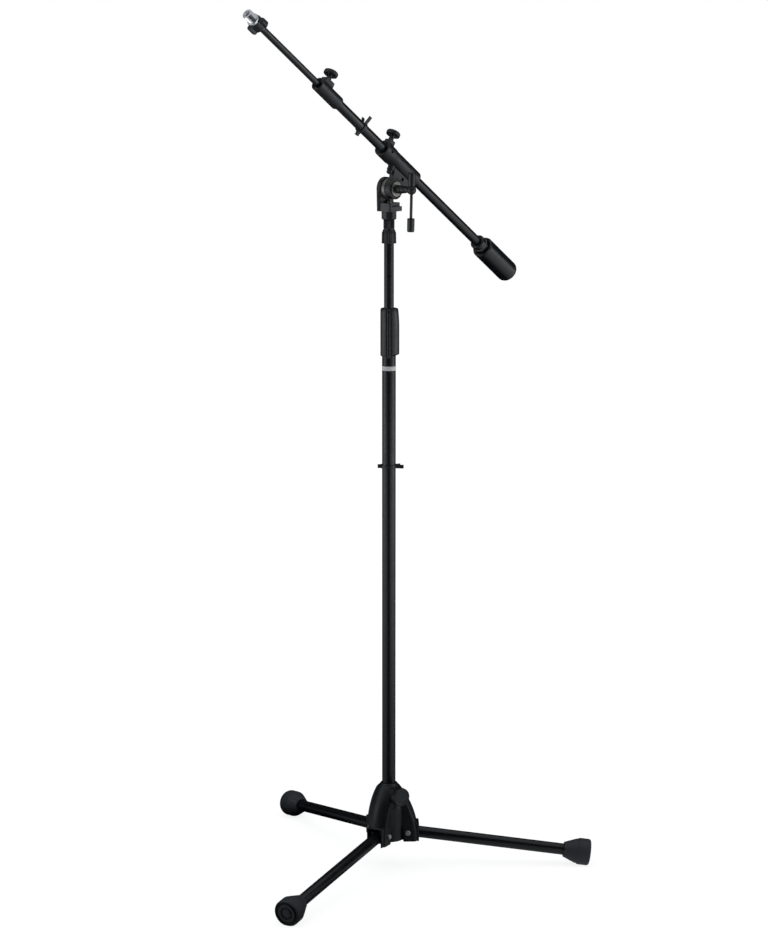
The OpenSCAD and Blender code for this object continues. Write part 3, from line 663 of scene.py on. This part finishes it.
# ---- boom
piece("boom_tube_form", "boom", COAT,
      [placed(tube(BOOM_R - BOOM_WALL, BOOM_R, -262, 225, 0.3, 72), on_boom(0))], ["boom_tube"])
cast("boom_clamp", CAST, 0.36, 3)
carry("clamp_bushing", PLASTIC, 0.2)
piece("boom_cable_clip_form", "boom", PLASTIC,
      [placed(bm, on_boom(CLIP_U) @ turn(168, "Z")) for bm in clip(BOOM_R)], ["boom_cable_clip"])
piece("boom_rod_form", "boom_rod", COAT,
      [placed(disc(ROD_R, -40, 421, 0.5, 64), on_boom(0))], ["boom_rod"])
carry("rod_guide", LINER, 0.2)

collar = lathe(rounded([
    (BOOM_R, COLLAR_FRONT - 10.5), (12.4, COLLAR_FRONT - 10.5, 0.5), (12.7, COLLAR_FRONT - 8.5, 0.5),
    (12.7, COLLAR_FRONT - 2.2, 1.8), (11.0, COLLAR_FRONT, 0.8), (9.4, COLLAR_FRONT, 0.3),
    (9.0, COLLAR_FRONT - 1.2, 0.3), (BOOM_R, COLLAR_FRONT - 1.2)
], 4), 96)
piece("weight_collar_form", "boom", COAT, [placed(collar, on_boom(0))], ["weight_collar"])
piece("weight_washer_form", "boom", TAN,
      [placed(tube(BOOM_R, 12.9, -246.2, -245.0, 0.25, 96), on_boom(0))], ["weight_washer"])
hex_nut = lathe(rounded([
    (BOOM_R, -256.0), (12.2, -256.0, 0.4), (13.3, -255.0, 0.4), (13.3, -247.2, 0.4),
    (12.2, -246.2, 0.4), (BOOM_R, -246.2)
], 3), 192, hexed(23.6))
piece("weight_nut_form", "boom", CAST, [placed(hex_nut, on_boom(0))], ["weight_nut"], 25)
carry("weight_stud", STEEL, 0.3)
front = WEIGHT_FRONT
rear = WEIGHT_FRONT - WEIGHT_LEN
weight = lathe(rounded([
    (5.0, rear, 0.4), (13.0, rear, 0.6), (14.0, rear + 0.7, 0.4), (WEIGHT_R - 1.4, rear + 0.7, 0.8),
    (WEIGHT_R, rear + 4.2, 2.6), (WEIGHT_R, front - 3.0, 2.2), (WEIGHT_R - 1.5, front, 0.8),
    (WEIGHT_R - 2.6, front, 0.4), (WEIGHT_R - 3.0, front - 1.6, 0.4), (WEIGHT_R - 4.2, front - 1.6, 0.3),
    (WEIGHT_R - 4.4, front - 6.8, 0.5), (5.0, front - 6.8)
], 5), 128)
piece("counterweight_form", "boom", COAT, [placed(weight, on_boom(0))], ["counterweight"])


# ---- tip
def mic_thread():
    """A right-hand thread of 27 turns to the inch, 5/8 inch over its crests, on a hollow stem."""
    pitch = 25.4 / 27
    major, minor = 7.9375, 7.42
    first, last = 425.2, 440.0
    profile = [(ROD_R, 402.0), (7.3, 402.0), (7.68, 402.5), (7.68, 425.0)]
    z = first
    while z < last:
        profile.append((major, z))
        z += pitch / 6
    profile += [(6.6, last), (4.9, last), (4.4, last - 0.6), (4.2, 428.0), (0.0, 427.0), (0.0, 421.0),
                (ROD_R, 421.0)]

    def shape(r, z, angle):
        if abs(r - major) > 1e-6:
            return r, z
        phase = (z / pitch - angle / (2 * math.pi)) % 1.0
        ridge = 1 - abs(2 * phase - 1)
        ends = min(1.0, (last - z) / 0.9)
        return (minor + (major - minor) * min(1.0, ridge * 1.15)) * (0.94 + 0.06 * ends), z
    return lathe(profile, 96, shape)


piece("mic_thread_form", "boom_rod", CHROME,
      [placed(mic_thread(), on_boom(0))], ["mic_thread"], 50)
thread_ring = tube(7.7, 10.0, 421.1, 425.0, 0.5, 96, scalloped(36, 0.25, 1.0, 9.0))
piece("thread_ring_form", "boom_rod", CHROME,
      [placed(thread_ring, on_boom(0))], ["thread_ring"], 25)


def wing_shape(r, z, angle):
    """Three wings that stand out of the ring, each with a raised edge."""
    if r < 10.4:
        return r, z
    out = 0.0
    for at in (100, 220, 340):
        off = abs((angle - math.radians(at) + math.pi) % (2 * math.pi) - math.pi)
        across = off * 12.5
        out = max(out, min(1.0, max(0.0, (4.9 - across) / 2.0)))
    smooth = out * out * (3 - 2 * out)
    ends = min(1.0, (z - RING_LOW - 0.4) / 1.5, (RING_HIGH - 0.6 - z) / 1.5)
    return r + 5.2 * smooth * (0.72 + 0.28 * max(0.0, ends)), z


ring_profile = [(7.75, RING_LOW), (10.3, RING_LOW), (10.8, RING_LOW + 0.3)]
ring_profile += [(11.0, RING_LOW + 16 * i / 12) for i in range(1, 12)]
ring_profile += [(10.8, RING_HIGH - 0.3), (10.3, RING_HIGH), (7.75, RING_HIGH)]
wings = lathe(ring_profile, 240, wing_shape)
piece("wing_ring_form", "wing_ring", PLASTIC,
      [placed(wings, on_boom(0))], ["wing_ring"], 40)


# ---------------------------------------------------------------- floor, light and camera
# metres and degrees
FLOOR_RADIUS = 40
DOME_RADIUS = 45
BOUNCE_SIZE = 20
BOUNCE_Z = -0.002
BOUNCE_RIGHT = (0.927, -0.375, 0)
BOUNCE_LEFT = (-0.966, -0.259, 0)
LIGHT_COLOUR = (0.94, 0.97, 1.0)
AIM_Z = 0.75
VIEW_DOWN = 10.2
VIEW_RIGHT = 1.37


def emitter(name, colour, strength):
    """A surface that only gives light."""
    mat = bpy.data.materials.new(name)
    mat.use_nodes = True
    tree = mat.node_tree
    tree.nodes.clear()
    glow = tree.nodes.new("ShaderNodeEmission")
    glow.inputs["Color"].default_value = (*colour, 1)
    glow.inputs["Strength"].default_value = strength
    out = tree.nodes.new("ShaderNodeOutputMaterial")
    tree.links.new(glow.outputs["Emission"], out.inputs["Surface"])
    return mat


def floor_material():
    """Pale and matt, with a little light of its own, so that shadows stay faint."""
    mat = bpy.data.materials.new("floor")
    mat.use_nodes = True
    tree = mat.node_tree
    shader = tree.nodes["Principled BSDF"]
    shader.inputs["Roughness"].default_value = 1.0
    shader.inputs["Specular IOR Level"].default_value = 0.0
    shader.inputs["Base Color"].default_value = (0.5, 0.5, 0.5, 1)
    shader.inputs["Emission Color"].default_value = (1, 1, 1, 1)
    place = tree.nodes.new("ShaderNodeTexCoord")
    length = tree.nodes.new("ShaderNodeVectorMath")
    length.operation = "LENGTH"
    rise = tree.nodes.new("ShaderNodeMapRange")
    rise.interpolation_type = "SMOOTHSTEP"
    rise.inputs["From Min"].default_value = 0.25
    rise.inputs["From Max"].default_value = 1.1
    rise.inputs["To Min"].default_value = 0.86
    rise.inputs["To Max"].default_value = 1.0
    tree.links.new(place.outputs["Object"], length.inputs[0])
    tree.links.new(length.outputs["Value"], rise.inputs["Value"])
    tree.links.new(rise.outputs["Result"], shader.inputs["Emission Strength"])
    return mat


floor_mesh = bmesh.new()
bmesh.ops.create_circle(floor_mesh, cap_ends=True, segments=96, radius=FLOOR_RADIUS)
mesh = bpy.data.meshes.new("floor")
floor_mesh.to_mesh(mesh)
floor = bpy.data.objects.new("floor", mesh)
mesh.materials.append(floor_material())
bpy.context.scene.collection.objects.link(floor)
floor.visible_glossy = False
floor.visible_diffuse = False
floor.visible_shadow = False

dome_mesh = bmesh.new()
bmesh.ops.create_uvsphere(dome_mesh, u_segments=48, v_segments=24, radius=DOME_RADIUS)
mesh = bpy.data.meshes.new("backdrop")
dome_mesh.to_mesh(mesh)
dome = bpy.data.objects.new("backdrop", mesh)
mesh.materials.append(emitter("backdrop", (1, 1, 1), 1.0))
bpy.context.scene.collection.objects.link(dome)
dome.visible_glossy = False
dome.visible_diffuse = False
dome.visible_shadow = False


def bounce_material():
    """What the tubes mirror from below: a pale floor, brightest to the left and right and further off."""
    mat = emitter("bounce", LIGHT_COLOUR, 1.0)
    tree = mat.node_tree
    place = tree.nodes.new("ShaderNodeTexCoord")

    def vector(operation, source, direction=None):
        node = tree.nodes.new("ShaderNodeVectorMath")
        node.operation = operation
        tree.links.new(source, node.inputs[0])
        if direction:
            node.inputs[1].default_value = direction
        return node.outputs["Value" if operation in ("LENGTH", "DOT_PRODUCT") else "Vector"]

    def ramp(source, low, high, start, end):
        node = tree.nodes.new("ShaderNodeMapRange")
        node.interpolation_type = "SMOOTHSTEP"
        node.inputs["From Min"].default_value = low
        node.inputs["From Max"].default_value = high
        node.inputs["To Min"].default_value = start
        node.inputs["To Max"].default_value = end
        tree.links.new(source, node.inputs["Value"])
        return node.outputs["Result"]

    def math_node(operation, first, second):
        node = tree.nodes.new("ShaderNodeMath")
        node.operation = operation
        tree.links.new(first, node.inputs[0])
        tree.links.new(second, node.inputs[1])
        return node.outputs["Value"]

    bearing = vector("NORMALIZE", place.outputs["Object"])
    right = ramp(vector("DOT_PRODUCT", bearing, BOUNCE_RIGHT), 0.4, 1.0, 0.0, 1.15)
    left = ramp(vector("DOT_PRODUCT", bearing, BOUNCE_LEFT), 0.4, 1.0, 0.0, 0.9)
    distance = vector("LENGTH", place.outputs["Object"])
    near = ramp(distance, -1.2, 2.6, 0.0, 1.0)
    far = ramp(distance, 1.0, 14.0, 1.0, 2.0)
    glow = math_node("MULTIPLY", math_node("ADD", right, left), math_node("MULTIPLY", near, far))
    tree.links.new(glow, tree.nodes["Emission"].inputs["Strength"])
    return mat


bounce_mesh = bmesh.new()
bmesh.ops.create_grid(bounce_mesh, x_segments=16, y_segments=16, size=BOUNCE_SIZE)
mesh = bpy.data.meshes.new("bounce")
bounce_mesh.to_mesh(mesh)
bounce = bpy.data.objects.new("bounce", mesh)
bounce.location.z = BOUNCE_Z
mesh.materials.append(bounce_material())
bpy.context.scene.collection.objects.link(bounce)
bounce.visible_camera = False
bounce.visible_shadow = False

world = bpy.data.worlds.new("studio")
world.use_nodes = True
world.node_tree.nodes["Background"].inputs["Color"].default_value = (0.9, 0.95, 1.0, 1)
world.node_tree.nodes["Background"].inputs["Strength"].default_value = 0.012
bpy.context.scene.world = world


def softbox(name, azimuth, distance, height, size, power):
    """A panel aimed at the mast; azimuth 0 is in front of the stand and 90 on its right, for the camera."""
    data = bpy.data.lights.new(name, "AREA")
    data.shape = "RECTANGLE"
    data.size, data.size_y = size
    data.energy = power
    data.color = LIGHT_COLOUR
    light = bpy.data.objects.new(name, data)
    a = math.radians(azimuth)
    light.location = (math.sin(a) * distance, -math.cos(a) * distance, height)
    light.rotation_euler = (Vector((0, 0, AIM_Z)) - light.location).to_track_quat("-Z", "Y").to_euler()
    bpy.context.scene.collection.objects.link(light)


softbox("left_box", -75, 2.6, 1.45, (1.2, 2.2), 11)
softbox("right_box", 78, 2.6, 1.45, (1.2, 2.2), 12)
softbox("top_box", 0, 0.0, 3.0, (4.5, 4.5), 38)

camera_data = bpy.data.cameras.new("camera")
camera_data.lens = 102.9
camera_data.sensor_width = 36.0
camera_data.clip_end = 200
camera = bpy.data.objects.new("camera", camera_data)
camera.location = (-0.1109, -4.3026, 1.454)
camera.rotation_euler = (math.radians(90 - VIEW_DOWN), 0, math.radians(-VIEW_RIGHT))
bpy.context.scene.collection.objects.link(camera)
bpy.context.scene.camera = camera
bpy.context.scene.view_settings.view_transform = "Standard"
